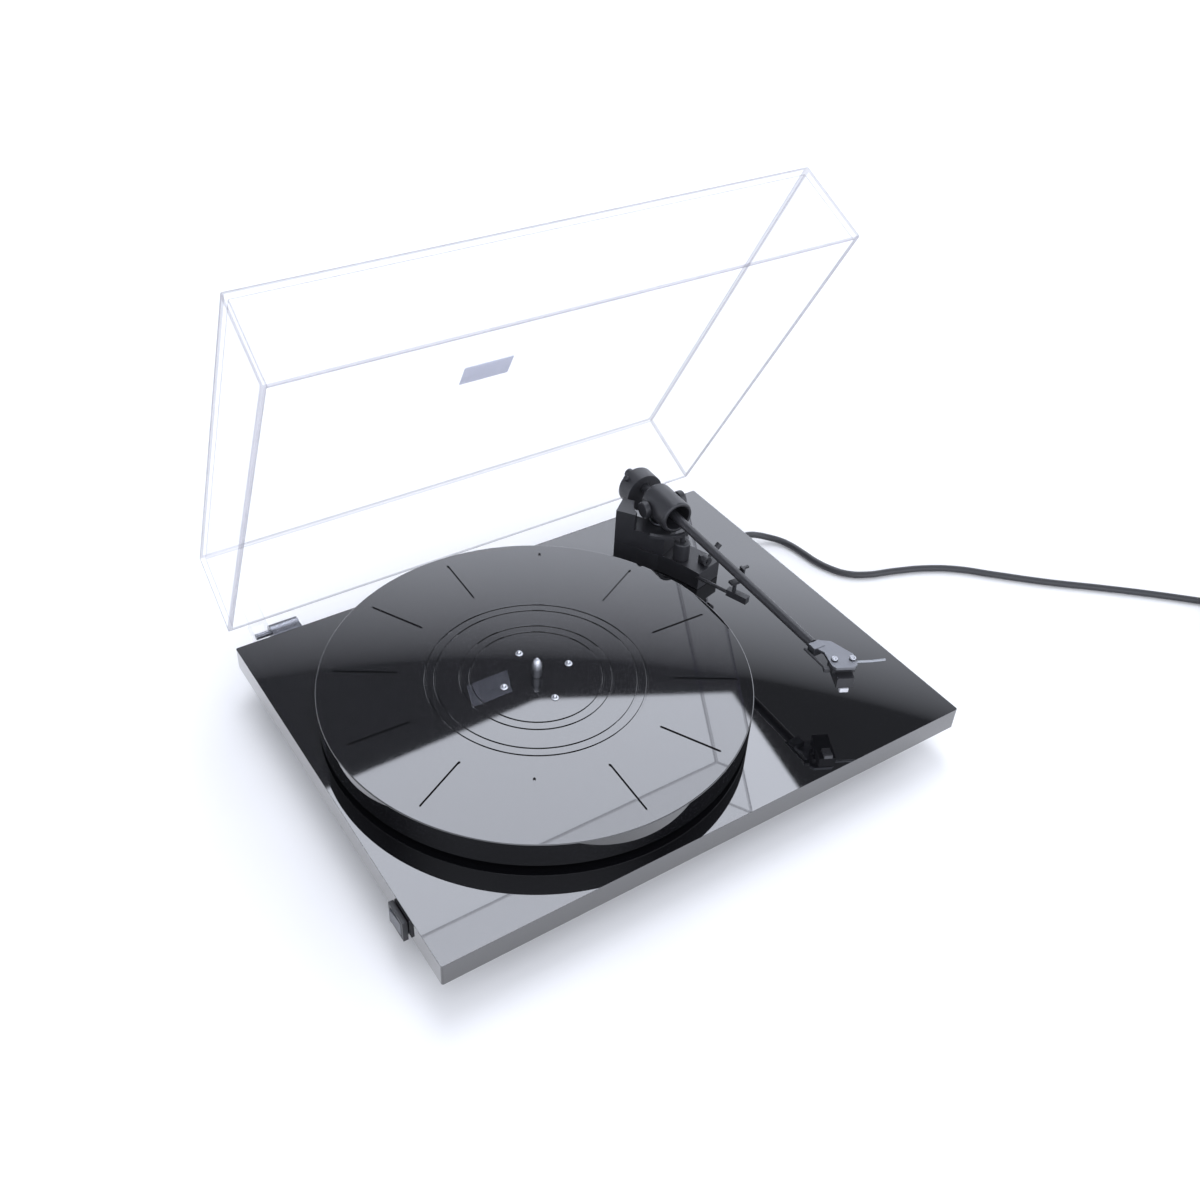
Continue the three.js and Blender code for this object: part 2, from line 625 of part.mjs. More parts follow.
// ---------------------------------------------------------------- switch, sockets, supply
function buildElectrics() {
  const left = -SIDE_X - GAP;
  const [halfY, halfZ] = SWITCH_HALF;
  const y = [SWITCH_Y - halfY, SWITCH_Y + halfY];
  const z = [SWITCH_Z - halfZ, SWITCH_Z + halfZ];
  const under = -PLINTH_T - GAP;
  place(machine, 'switch_bezel', cut(
    join(
      box([left - 3.4, left], y, z),
      box([left - 3.4, left + 22], [y[0] + 3, y[1] - 3], [z[0] + 0.8, under]),
    ),
    box(
      [left - 5, left - 1.2],
      [y[0] + SWITCH_RIM, y[1] - SWITCH_RIM],
      [z[0] + SWITCH_RIM, z[1] - SWITCH_RIM],
    ),
  ), SATIN_BLACK());
  const rocker = new THREE.Group();
  rocker.position.set(left - 1.6, SWITCH_Y, SWITCH_Z);
  rocker.rotation.z = rad(ROCKER_TILT);
  machine.add(rocker);
  const back = -ROCKER_HALF * Math.tan(rad(ROCKER_TILT));
  const face = outline([
    [0, 0], [back, ROCKER_HALF], [back - 2, ROCKER_HALF], [-2.3, 0], [back - 2, -ROCKER_HALF], [back, -ROCKER_HALF],
  ]);
  place(rocker, 'switch_rocker', plate(face, [-ROCKER_HALF_H, ROCKER_HALF_H]), finish(0x4a4c50, 0.35));

  place(machine, 'supply_box', box([150, 199], [62, 118], [-37, under]), SATIN_BLACK());
  place(machine, 'socket_box', box([60, 112], [138, BACK_Y - 1], [-36, under]), SATIN_BLACK());
  const socket = (x) => {
    const ring = turned([[2, 0], [4.2, 0], [4.2, 8], [3.4, 8.6], [2, 8.6], [2, 0]], 20);
    ring.rotateX(-Math.PI / 2);
    return ring.translate(x, BACK_Y - 1 + GAP, -27);
  };
  place(machine, 'signal_socket_left', socket(87), BRASS());
  place(machine, 'signal_socket_right', socket(72), BRASS());
  place(machine, 'ground_post', rodBetween(2.2, [102, BACK_Y - 1 + GAP, -27], [102, BACK_Y + 8, -27], 14), STEEL());
}

// ---------------------------------------------------------------- supply lead
function buildLead() {
  const nose = GLAND_X + 27;
  const relief = turned([
    [0, 0], [7, 0], [7, 3], [5, 4.5], [4.4, 12], [3.3, 26.6], [0, 26.6],
  ], 20);
  relief.rotateX(-Math.PI / 2);
  relief.rotateZ(-Math.PI / 2);
  relief.translate(GLAND_X, GLAND_Y, GLAND_Z);
  place(machine, 'cord_gland', relief, RUBBER());

  const section = () => {
    const shape = new THREE.Shape();
    for (let i = 0; i < 10; i += 1) {
      const a = (i + 0.5) * Math.PI / 5;
      shape[i ? 'lineTo' : 'moveTo'](CORD_R * Math.cos(a), CORD_R * Math.sin(a));
    }
    shape.closePath();
    return shape;
  };
  const tube = (points, steps) => new THREE.ExtrudeGeometry(section(), {
    steps,
    extrudePath: new THREE.CatmullRomCurve3(points.map((p) => new THREE.Vector3(...p))),
  });
  const route = [
    [nose + GAP, GLAND_Y, GLAND_Z], [236.5, 113, -30.2], [246, 111.8, -33.2], [255, 107.8, -36.2],
    [262.5, 100.4, -37.7], [267, 90.5, CORD_Z], [269, 77, CORD_Z], [271, 61, CORD_Z], [275.5, 47, CORD_Z],
    [283, 35, CORD_Z],
    [296, 26, CORD_Z], [322, 17, CORD_Z], [348, 6.5, CORD_Z], [371, -8, CORD_Z], [394, -30, CORD_Z],
    [428, -62, CORD_Z], [459, -88, CORD_Z], [490, -115, CORD_Z], [522, -145, CORD_Z],
    [...polar(COIL_X, COIL_Y, COIL_R + COIL_HALF_W + CORD_R + 2 * GAP, COIL_IN_ANGLE), CORD_Z],
  ];
  place(machine, 'cord_run', tube(route, 42), RUBBER());

  const coil = turned([
    [COIL_R - COIL_HALF_W, COIL_Z[0]], [COIL_R + COIL_HALF_W, COIL_Z[0]],
    [COIL_R + COIL_HALF_W, COIL_Z[1]], [COIL_R - COIL_HALF_W, COIL_Z[1]],
    [COIL_R - COIL_HALF_W, COIL_Z[0]],
  ], 32);
  place(machine, 'cord_coil', coil.translate(COIL_X, COIL_Y, 0), RUBBER());
  const tieX = [COIL_X - COIL_R - COIL_HALF_W - GAP, COIL_X - COIL_R + COIL_HALF_W + 1.2];
  const tieZ = [COIL_Z[0] - GAP, COIL_Z[1] + GAP];
  place(machine, 'cord_tie', cut(
    solid(box(
      [tieX[0] - TIE_T, tieX[1] + TIE_T],
      [COIL_Y - 3, COIL_Y + 3],
      [tieZ[0] - TIE_T, tieZ[1] + TIE_T],
    )),
    box(tieX, [COIL_Y - 4, COIL_Y + 4], tieZ),
  ), SATIN_BLACK());

  const tailX = COIL_X + COIL_R + COIL_HALF_W + CORD_R + 2 * GAP;
  const plugZ = FLOOR_Z + 7.2;
  const tail = [
    [tailX, COIL_Y - 2, CORD_Z], [tailX, COIL_Y - 16, CORD_Z + 0.6], [tailX, COIL_Y - 30, CORD_Z + 3],
    [tailX, PLUG_Y + 6 + GAP, plugZ],
  ];
  place(machine, 'cord_tail', tube(tail, 8), RUBBER());
  const bodyOutline = outline([
    [-4.4, 6], [4.4, 6], [6, -6], [17.5, -13], [17.5, -33], [-17.5, -33], [-17.5, -13], [-6, -6],
  ]);
  const pin = (x) => rodBetween(2, [x, -32, 0], [x, -52, 0], 14);
  const plug = join(plate(bodyOutline, [-7, 7]), pin(-9.3), pin(9.3));
  place(machine, 'mains_plug', surface(plug).translate(tailX, PLUG_Y, plugZ), RUBBER());
}

buildPlinth();
buildDrive();
buildArmBase();
buildArm();
buildLid();
buildElectrics();
buildLead();

const LEAD_PIECES = ['cord_gland', 'cord_run', 'cord_coil', 'cord_tie', 'cord_tail', 'mains_plug'];
machine.updateMatrixWorld(true);
const footprint = new THREE.Box3();
machine.traverse((piece) => {
  if (piece.isMesh && !LEAD_PIECES.includes(piece.name)) {
    footprint.expandByObject(piece, true);
  }
});
const middle = footprint.getCenter(new THREE.Vector3());
machine.position.set(-middle.x, -middle.y, -footprint.min.z);

export default machine;
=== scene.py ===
"""Looks of the record player: gloss plinth and platter, clear lid, satin black tonearm, lead and studio."""
import json
import math

import bmesh
import bpy
from mathutils import Matrix, Vector


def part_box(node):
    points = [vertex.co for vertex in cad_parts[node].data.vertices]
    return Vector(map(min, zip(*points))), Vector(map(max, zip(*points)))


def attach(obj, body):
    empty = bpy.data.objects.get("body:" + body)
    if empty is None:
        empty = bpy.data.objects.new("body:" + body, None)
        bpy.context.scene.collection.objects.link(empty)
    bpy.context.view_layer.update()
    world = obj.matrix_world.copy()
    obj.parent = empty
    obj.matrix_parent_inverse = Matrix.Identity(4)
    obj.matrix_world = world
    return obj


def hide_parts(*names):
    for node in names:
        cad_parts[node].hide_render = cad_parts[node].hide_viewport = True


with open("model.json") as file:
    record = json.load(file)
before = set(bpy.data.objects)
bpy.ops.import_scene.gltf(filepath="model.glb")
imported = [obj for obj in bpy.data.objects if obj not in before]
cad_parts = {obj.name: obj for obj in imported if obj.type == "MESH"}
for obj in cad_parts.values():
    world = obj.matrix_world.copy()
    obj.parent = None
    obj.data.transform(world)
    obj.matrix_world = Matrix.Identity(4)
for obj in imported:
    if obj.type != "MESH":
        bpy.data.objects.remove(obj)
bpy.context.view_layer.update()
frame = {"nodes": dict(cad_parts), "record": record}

MM = 0.001
PLINTH_LOW, PLINTH_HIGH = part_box("plinth")
TOP = Vector(((PLINTH_LOW.x + PLINTH_HIGH.x) / 2, (PLINTH_LOW.y + PLINTH_HIGH.y) / 2, PLINTH_HIGH.z))
FLOOR = -TOP.z / MM


def at(x, y, z):
    """A point given in millimetres from the middle of the plinth's top face."""
    return TOP + Vector((x, y, z)) * MM


BODY_OF = {node: body for body, nodes in frame["record"]["behaviour"]["bodies"].items() for node in nodes}
SLOT_OF = {part["node"]: part["material_slot"] for part in frame["record"]["subparts"]}


# ---------------------------------------------------------------- camera
CAMERA_RIGHT = Vector((0.8346, -0.5488, 0.0474))
CAMERA_FORWARD = Vector((0.4513, 0.6320, -0.6300))
CAMERA_PLACE = (-391, -549, 619.5)
SENSOR_WIDTH, LENS = 36, 38.21
FARTHEST_SEEN = 100


def make_camera():
    """The camera of the photograph; returns the direction in which it looks."""
    right = CAMERA_RIGHT.normalized()
    forward = CAMERA_FORWARD.normalized()
    up = right.cross(forward)
    right = forward.cross(up)
    data = bpy.data.cameras.new("camera")
    data.sensor_width = SENSOR_WIDTH
    data.lens = LENS
    data.clip_end = FARTHEST_SEEN
    camera = bpy.data.objects.new("camera", data)
    bpy.context.scene.collection.objects.link(camera)
    turn = Matrix((right, up, -forward)).transposed().to_4x4()
    camera.matrix_world = Matrix.Translation(at(*CAMERA_PLACE)) @ turn
    bpy.context.scene.camera = camera
    return forward


VIEW = make_camera()


# ---------------------------------------------------------------- node helpers
class Nodes:
    """A material's or the world's node tree, with short calls for what is used here."""

    def __init__(self, owner):
        owner.use_nodes = True
        self.tree = owner.node_tree
        self.tree.nodes.clear()

    def add(self, kind, **values):
        node = self.tree.nodes.new(kind)
        for name, value in values.items():
            setattr(node, name, value)
        return node

    def link(self, value, socket):
        if isinstance(value, bpy.types.NodeSocket):
            self.tree.links.new(value, socket)
        else:
            socket.default_value = value

    def math(self, operation, *values, clamp=False):
        node = self.add("ShaderNodeMath", operation=operation, use_clamp=clamp)
        for i, value in enumerate(values):
            self.link(value, node.inputs[i])
        return node.outputs[0]

    def ramp(self, value, low, high, out_low=0.0, out_high=1.0, smooth=True):
        node = self.add("ShaderNodeMapRange", interpolation_type="SMOOTHSTEP" if smooth else "LINEAR")
        self.link(value, node.inputs["Value"])
        self.link(low, node.inputs["From Min"])
        self.link(high, node.inputs["From Max"])
        self.link(out_low, node.inputs["To Min"])
        self.link(out_high, node.inputs["To Max"])
        return node.outputs["Result"]

    def noise(self, scale, detail=2.0, stretch=(1, 1, 1)):
        place = self.add("ShaderNodeTexCoord").outputs["Object"]
        mapping = self.add("ShaderNodeMapping")
        self.link(place, mapping.inputs["Vector"])
        mapping.inputs["Scale"].default_value = stretch
        node = self.add("ShaderNodeTexNoise")
        self.link(mapping.outputs[0], node.inputs["Vector"])
        node.inputs["Scale"].default_value = scale
        node.inputs["Detail"].default_value = detail
        return node.outputs["Fac"]

    def bump(self, height, strength, distance):
        node = self.add("ShaderNodeBump")
        node.inputs["Strength"].default_value = strength
        node.inputs["Distance"].default_value = distance
        self.link(height, node.inputs["Height"])
        return node.outputs[0]

    def colours(self, factor, first, second):
        node = self.add("ShaderNodeMix", data_type="RGBA")
        self.link(factor, node.inputs["Factor"])
        colour_a, colour_b = node.inputs[6], node.inputs[7]
        colour_a.default_value = (*first, 1)
        colour_b.default_value = (*second, 1)
        return node.outputs[2]

    def surface(self, **values):
        """A Principled surface; an input's name is given with _ for each space."""
        shader = self.add("ShaderNodeBsdfPrincipled")
        for name, value in values.items():
            self.link(value, shader.inputs[name.replace("_", " ")])
        output = self.add("ShaderNodeOutputMaterial")
        self.link(shader.outputs[0], output.inputs[0])


def material(name):
    """An empty node tree and the material that holds it."""
    made = bpy.data.materials.new(f"{name}_look")
    return Nodes(made), made


# ---------------------------------------------------------------- materials
def lacquer(name, tint, orange_peel, coat_ior):
    """Polished black lacquer: a deep gloss with the faintest waviness and dust-fine wear."""
    n, made = material(name)
    wear = n.noise(900, 4)
    wave = n.noise(60, 2)
    n.surface(
        Base_Color=n.colours(wear, tint, tuple(3 * c for c in tint)),
        Roughness=n.ramp(wear, 0.35, 0.75, 0.015, 0.045),
        IOR=1.55,
        Specular_IOR_Level=0.6,
        Coat_Weight=1.0,
        Coat_Roughness=0.01,
        Coat_IOR=coat_ior,
        Normal=n.bump(wave, orange_peel, 0.0002),
    )
    return made


def moulding(name, tint, rough, grain=2600):
    """Satin moulded plastic with a fine spark-eroded grain."""
    n, made = material(name)
    fine = n.noise(grain, 3)
    broad = n.noise(120, 2)
    n.surface(
        Base_Color=n.colours(broad, tint, tuple(1.6 * c for c in tint)),
        Roughness=n.ramp(fine, 0.3, 0.7, rough - 0.06, rough + 0.08),
        IOR=1.5,
        Normal=n.bump(fine, 0.25, 0.0001),
    )
    return made


def rubber(name, tint, rough=0.75):
    n, made = material(name)
    fine = n.noise(1500, 4)
    n.surface(
        Base_Color=n.colours(fine, tint, tuple(2 * c for c in tint)),
        Roughness=n.ramp(fine, 0.3, 0.7, rough - 0.1, rough + 0.1),
        IOR=1.5,
        Normal=n.bump(fine, 0.4, 0.0001),
    )
    return made


def metal(name, tint, rough, stretch=(1, 1, 1), brushing=0.1):
    """Metal with fine working marks, drawn out along the stretch's small axis."""
    n, made = material(name)
    marks = n.noise(1800, 3, stretch)
    n.surface(
        Base_Color=n.colours(marks, tint, tuple(0.8 * c for c in tint)),
        Metallic=1.0,
        Roughness=n.ramp(marks, 0.3, 0.7, rough, rough + 0.12),
        Normal=n.bump(marks, brushing, 0.00005),
    )
    return made


def clear_plastic(name, tint, faces_on, edge_on, rough):
    """Clear acrylic: nearly nothing seen straight through, more at a glancing look and along cut edges."""
    n, made = material(name)
    haze = n.noise(40, 2)
    glance = n.add("ShaderNodeLayerWeight")
    glance.inputs["Blend"].default_value = 0.5
    n.surface(
        Base_Color=n.colours(haze, tint, tuple(0.97 * c for c in tint)),
        Roughness=n.ramp(haze, 0.4, 0.8, rough, rough + 0.02),
        IOR=1.49,
        Alpha=n.ramp(glance.outputs["Facing"], 0.35, 1.0, faces_on, edge_on),
    )
    return made


PIANO_BLACK = (0.002, 0.002, 0.0024)
MATERIALS = {
    "gloss_black": lacquer("gloss_black", PIANO_BLACK, 0.02, 1.62),
    "platter_gloss": lacquer("platter_gloss", PIANO_BLACK, 0.015, 1.5),
    "satin_black": moulding("satin_black", (0.016, 0.016, 0.018), 0.4),
    "grey_plastic": moulding("grey_plastic", (0.07, 0.072, 0.08), 0.35),
    "pale_plastic": moulding("pale_plastic", (0.42, 0.42, 0.44), 0.3),
    "rubber": rubber("rubber", (0.012, 0.012, 0.012)),
    "belt_rubber": rubber("belt_rubber", (0.01, 0.01, 0.01), 0.65),
    "cord_jacket": rubber("cord_jacket", (0.018, 0.018, 0.02), 0.45),
    "chrome": metal("chrome", (0.5, 0.51, 0.54), 0.14),
    "steel": metal("steel", (0.3, 0.31, 0.33), 0.3, (1, 1, 0.05)),
    "brass": metal("brass", (0.66, 0.48, 0.2), 0.22, (1, 1, 12)),
    "headshell_metal": metal("headshell_metal", (0.2, 0.205, 0.22), 0.36, (1, 0.05, 1)),
    "weight_metal": moulding("weight_metal", (0.018, 0.018, 0.02), 0.42, 3200),
    "badge_metal": moulding("badge_metal", (0.36, 0.37, 0.43), 0.4, 1800),
    "clear_plastic": clear_plastic("clear_plastic", (0.80, 0.80, 0.88), 0.035, 0.22, 0.03),
}
HINGE_METAL = metal("hinge_metal", (0.2, 0.205, 0.225), 0.16)
# The lid's edge colour: the acrylic's own tint seen along the wall, darkened as painted shade for the dark
# look that refraction gives clear edges.
EDGE_TINT_AND_SHADE = clear_plastic("edge_tint_and_shade", (0.10, 0.09, 0.16), 0.32, 0.7, 0.1)


# ---------------------------------------------------------------- mesh helpers
WELD_DISTANCE = 1e-6
FLAT_WITHIN = 1
EDGE_PROFILE = 0.6


def new_piece(name, mesh, slot, body, *replaced):
    """A piece that rides a body and stands in for the CAD nodes named last."""
    piece = bpy.data.objects.new(name, mesh)
    bpy.context.scene.collection.objects.link(piece)
    if not mesh.materials:
        mesh.materials.append(MATERIALS[slot])
    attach(piece, body)
    if replaced:
        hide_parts(*replaced)
    return piece


def smooth(mesh, degrees=40):
    for polygon in mesh.polygons:
        polygon.use_smooth = True
    mesh.set_sharp_from_angle(angle=math.radians(degrees))


def finish_normals(piece):
    even = piece.modifiers.new("even_shading", "WEIGHTED_NORMAL")
    even.keep_sharp = True


def refined(node, radius, segments=2, sharpest=35):
    """The CAD piece with its sharp edges rounded to a real moulded or machined radius, in mm."""
    mesh = frame["nodes"][node].data.copy()
    mesh.name = f"{node}_fine"
    mesh.materials.clear()
    b = bmesh.new()
    b.from_mesh(mesh)
    bmesh.ops.remove_doubles(b, verts=b.verts, dist=WELD_DISTANCE)
    bmesh.ops.dissolve_limit(b, angle_limit=math.radians(FLAT_WITHIN), verts=b.verts, edges=b.edges)
    limit = math.radians(sharpest)
    edges = [e for e in b.edges if e.is_manifold and e.calc_face_angle(0) > limit]
    bmesh.ops.bevel(
        b, geom=edges, offset=radius * MM, offset_type="OFFSET", segments=segments,
        profile=EDGE_PROFILE, affect="EDGES", clamp_overlap=True,
    )
    b.to_mesh(mesh)
    b.free()
    smooth(mesh)
    piece = new_piece(f"{node}_fine", mesh, SLOT_OF[node], BODY_OF[node], node)
    finish_normals(piece)
    return piece


def lathe_mesh(name, profile, steps, centre):
    """A turned mesh about a vertical axis; the profile is (radius, height) in mm and closes on itself."""
    b = bmesh.new()
    rings = []
    for radius, height in profile:
        if radius < WELD_DISTANCE:
            rings.append([b.verts.new(at(centre[0], centre[1], height))])
            continue
        rings.append([
            b.verts.new(at(
                centre[0] + radius * math.cos(2 * math.pi * i / steps),
                centre[1] + radius * math.sin(2 * math.pi * i / steps),
                height,
            ))
            for i in range(steps)
        ])
    for first, second in zip(rings, rings[1:] + rings[:1]):
        if len(first) == 1 and len(second) == 1:
            continue
        for i in range(steps):
            j = (i + 1) % steps
            corners = [
                first[i % len(first)], first[j % len(first)],
                second[j % len(second)], second[i % len(second)],
            ]
            b.faces.new(list(dict.fromkeys(corners)))
    bmesh.ops.recalc_face_normals(b, faces=b.faces)
    mesh = bpy.data.meshes.new(name)
    b.to_mesh(mesh)
    b.free()
    smooth(mesh, 30)
    return mesh


def arc(centre, radius, start, end, steps):
    """Points of a profile's round stretch, from start to end in degrees."""
    turns = [math.radians(start + (end - start) * i / steps) for i in range(steps + 1)]
    return [(centre[0] + radius * math.cos(a), centre[1] + radius * math.sin(a)) for a in turns]


def centre_of(node):
    """The middle of a CAD node in plan, in mm from the middle of the plinth's top."""
    low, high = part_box(node)
    middle = ((low + high) / 2 - TOP) / MM
    return middle.x, middle.y


def levels_of(node):
    """A CAD node's lowest and highest level, in mm from the plinth's top face."""
    low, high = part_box(node)
    return (low.z - TOP.z) / MM, (high.z - TOP.z) / MM


# ---------------------------------------------------------------- lead
CORD_R = 2.8
CORD_LIFT = 0.3
CORD_Z = FLOOR + CORD_R + CORD_LIFT
COIL = (523, -208)
COIL_R = 33
COIL_LIFT = 1.2
COIL_LEVELS = (FLOOR + COIL_LIFT + CORD_R, FLOOR + COIL_LIFT + 3 * CORD_R)
# The radius at which the lead passes outside the coil, and the angle at which it comes in.
OUTSIDE_R = 45.1
ENTRY_ANGLE = 44.6
# Turns in radians over which the lead comes in, climbs to the upper layer and leaves.
ENTRY_TURN, CLIMB_TURN, LEAVE_TURN = 1.1, 2.2, 1.3
COIL_STEPS = 72
# From the gland, down beside the plinth and over the floor to the coil.
ROUTE = [
    (226.8, 113, -29), (236.5, 113, -30.2), (246, 111.8, -33.2), (255, 107.8, -36.2),
    (262.5, 100.4, -37.7), (267, 90.5, CORD_Z), (269, 77, CORD_Z), (271, 61, CORD_Z),
    (275.5, 47, CORD_Z), (283, 35, CORD_Z), (296, 26, CORD_Z), (322, 17, CORD_Z),
    (348, 6.5, CORD_Z), (371, -8, CORD_Z), (394, -30, CORD_Z),
    (428, -62, CORD_Z), (459, -88, CORD_Z), (490, -115, CORD_Z), (522, -145, CORD_Z),
]
TAIL_X = COIL[0] + OUTSIDE_R
PLUG_RISE = 7.2
PLUG_Z = FLOOR + PLUG_RISE
TAIL = [(TAIL_X, -224, CORD_Z + 0.6), (TAIL_X, -238, CORD_Z + 3), (TAIL_X, -251.7, PLUG_Z)]


def ease(t):
    """A soft step from 0 to 1."""
    t = min(max(t, 0), 1)
    return t * t * (3 - 2 * t)


def coil_points():
    """In from outside, two turns inwards below, up, about a turn and a half outwards above, and off."""
    low, high = COIL_LEVELS
    outer, inner = COIL_R + 2 * CORD_R, COIL_R - 2 * CORD_R
    below_end = ENTRY_TURN + 4 * math.pi
    above_start = below_end + CLIMB_TURN
    total = 8 * math.pi + math.radians(ENTRY_ANGLE)
    above_end = total - LEAVE_TURN
    above_r = inner + 2 * CORD_R * (above_end - above_start) / (2 * math.pi)
    points = []
    for i in range(COIL_STEPS + 1):
        turn = total * i / COIL_STEPS
        if turn < ENTRY_TURN:
            part = ease(turn / ENTRY_TURN)
            r = OUTSIDE_R + (outer - OUTSIDE_R) * part
            z = CORD_Z + (low - CORD_Z) * part
        elif turn < below_end:
            r = outer + (inner - outer) * (turn - ENTRY_TURN) / (below_end - ENTRY_TURN)
            z = low
        elif turn < above_start:
            r = inner
            z = low + (high - low) * ease((turn - below_end) / CLIMB_TURN)
        elif turn < above_end:
            r = inner + (above_r - inner) * (turn - above_start) / (above_end - above_start)
            z = high
        else:
            part = (turn - above_end) / LEAVE_TURN
            r = above_r + (OUTSIDE_R - above_r) * ease(part * 1.5)
            z = high + (CORD_Z - high) * ease((part - 0.55) / 0.45)
        angle = math.radians(ENTRY_ANGLE) - turn
        points.append((COIL[0] + r * math.cos(angle), COIL[1] + r * math.sin(angle), z))
    return points


def make_lead():
    points = [at(*p) for p in [*ROUTE, *coil_points(), *TAIL]]
    curve = bpy.data.curves.new("mains_lead", "CURVE")
    curve.dimensions = "3D"
    curve.bevel_depth = CORD_R * MM
    curve.bevel_resolution = 6
    curve.resolution_u = 6
    curve.use_fill_caps = True
    spline = curve.splines.new("BEZIER")
    spline.bezier_points.add(len(points) - 1)
    for place, point in zip(points, spline.bezier_points):
        point.co = place
        point.handle_left_type = "AUTO"
        point.handle_right_type = "AUTO"
    curve.materials.append(MATERIALS["cord_jacket"])
    lead = bpy.data.objects.new("mains_lead", curve)
    bpy.context.scene.collection.objects.link(lead)
    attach(lead, "chassis")
    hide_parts("cord_run", "cord_coil", "cord_tail")
    return lead


LEAD = make_lead()
GLAND = refined("cord_gland", 0.5)
TIE = refined("cord_tie", 0.2)
PLUG = refined("mains_plug", 1.4, 3)
PLUG.data.materials.append(MATERIALS["steel"])
PIN_LENGTH = 19
PIN_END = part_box("mains_plug")[0].y + PIN_LENGTH * MM
for polygon in PLUG.data.polygons:
    if polygon.center.y < PIN_END:
        polygon.material_index = 1


# ---------------------------------------------------------------- platter
SKIRT_WALL, WEB_THICKNESS, WEB_CHAMFER = 7, 8, 2
BORE_R = 3.9
RIM_ROUND, FOOT_ROUND = 0.7, 0.5
GROOVE_RADII = (46, 52.7, 70, 76.5)
GROOVE_TOP_HALF, GROOVE_FLOOR_HALF, GROOVE_DEPTH = 0.8, 0.5, 0.7
PLATTER_STEPS = 240
# One radial slot's outline: out along the radius, and across it.
SLOT_OUTLINE = [
    (139, 0.9), (96, 0.9), (95.4, 0.5), (95.2, 0), (95.4, -0.5), (96, -0.9),
    (139, -0.9), (139.6, -0.5), (139.8, 0), (139.6, 0.5),
]
SLOTS, FIRST_SLOT, SLOT_DEPTH = 12, -2, 1.2
CUTTER_ABOVE = 2
SPINDLE_R, SPINDLE_NOSE, SPINDLE_CHAMFER = 3.6, 9, 1
SCREW_SHANK_R, SCREW_HEAD_R, SCREW_HEAD_HEIGHT = 1.6, 2.8, 1.7


def make_platter():
    centre = centre_of("platter")
    low, high = levels_of("platter")
    radius = (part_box("platter")[1].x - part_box("platter")[0].x) / 2 / MM
    skirt, web = radius - SKIRT_WALL, high - WEB_THICKNESS
    groove_floor = high - GROOVE_DEPTH
    top = [(BORE_R, high)]
    for groove in GROOVE_RADII:
        top += [
            (groove - GROOVE_TOP_HALF, high), (groove - GROOVE_FLOOR_HALF, groove_floor),
            (groove + GROOVE_FLOOR_HALF, groove_floor), (groove + GROOVE_TOP_HALF, high),
        ]
    rim = arc((radius - RIM_ROUND, high - RIM_ROUND), RIM_ROUND, 90, 0, 5)
    foot = arc((radius - FOOT_ROUND, low + FOOT_ROUND), FOOT_ROUND, 0, -90, 4)
    under = [(skirt, low), (skirt, web - WEB_CHAMFER), (skirt - WEB_CHAMFER, web), (BORE_R, web)]
    mesh = lathe_mesh("platter_fine", [*top, *rim, *foot, *under], PLATTER_STEPS, centre)
    piece = new_piece("platter_fine", mesh, "platter_gloss", "platter_body", "platter")

    b = bmesh.new()
    for i in range(SLOTS):
        turn = math.radians(360 / SLOTS * i + FIRST_SLOT)
        level = []
        for z in (high - SLOT_DEPTH, high + CUTTER_ABOVE):
            level.append([
                b.verts.new(at(
                    centre[0] + u * math.cos(turn) - v * math.sin(turn),
                    centre[1] + u * math.sin(turn) + v * math.cos(turn),
                    z,
                ))
                for u, v in SLOT_OUTLINE
            ])
        b.faces.new(level[0])
        b.faces.new(level[1])
        for j in range(len(SLOT_OUTLINE)):
            k = (j + 1) % len(SLOT_OUTLINE)
            b.faces.new([level[0][j], level[0][k], level[1][k], level[1][j]])
    bmesh.ops.recalc_face_normals(b, faces=b.faces)
    cutter_mesh = bpy.data.meshes.new("slots")
    b.to_mesh(cutter_mesh)
    b.free()
    cutter = bpy.data.objects.new("slots", cutter_mesh)
    bpy.context.scene.collection.objects.link(cutter)
    cut = piece.modifiers.new("slots", "BOOLEAN")
    cut.operation = "DIFFERENCE"
    cut.solver = "EXACT"
    cut.object = cutter
    bpy.context.view_layer.update()
    graph = bpy.context.evaluated_depsgraph_get()
    done = bpy.data.meshes.new_from_object(piece.evaluated_get(graph))
    piece.modifiers.clear()
    piece.data = done
    done.name = "platter_fine_cut"
    smooth(done, 30)
    finish_normals(piece)
    bpy.data.objects.remove(cutter)


def make_spindle():
    """The record's spindle, which ends in a slim half ellipse."""
    low, high = levels_of("spindle")
    shoulder = high - SPINDLE_NOSE
    turns = [math.radians(t) for t in range(0, 84, 7)]
    profile = [
        (0, low), (SPINDLE_R - SPINDLE_CHAMFER, low), (SPINDLE_R, low + SPINDLE_CHAMFER),
        *((SPINDLE_R * math.cos(t), shoulder + SPINDLE_NOSE * math.sin(t)) for t in turns),
        (0, high),
    ]
    new_piece("spindle_fine", lathe_mesh("spindle_fine", profile, 48, centre_of("spindle")),
              "chrome", "platter_body", "spindle")


def make_platter_screw(i):
    """A screw whose domed head stands on the platter."""
    node = f"platter_screw_{i}"
    low, high = levels_of(node)
    seat = high - SCREW_HEAD_HEIGHT
    dome_r = (SCREW_HEAD_R ** 2 + SCREW_HEAD_HEIGHT ** 2) / (2 * SCREW_HEAD_HEIGHT)
    start = math.degrees(math.asin((dome_r - SCREW_HEAD_HEIGHT) / dome_r))
    profile = [
        (0, low), (SCREW_SHANK_R, low), (SCREW_SHANK_R, seat), (SCREW_HEAD_R - 0.1, seat),
        *arc((0, high - dome_r), dome_r, start, 88, 9), (0, high),
    ]
    new_piece(f"{node}_fine", lathe_mesh(f"{node}_fine", profile, 36, centre_of(node)),
              "chrome", "platter_body", node)


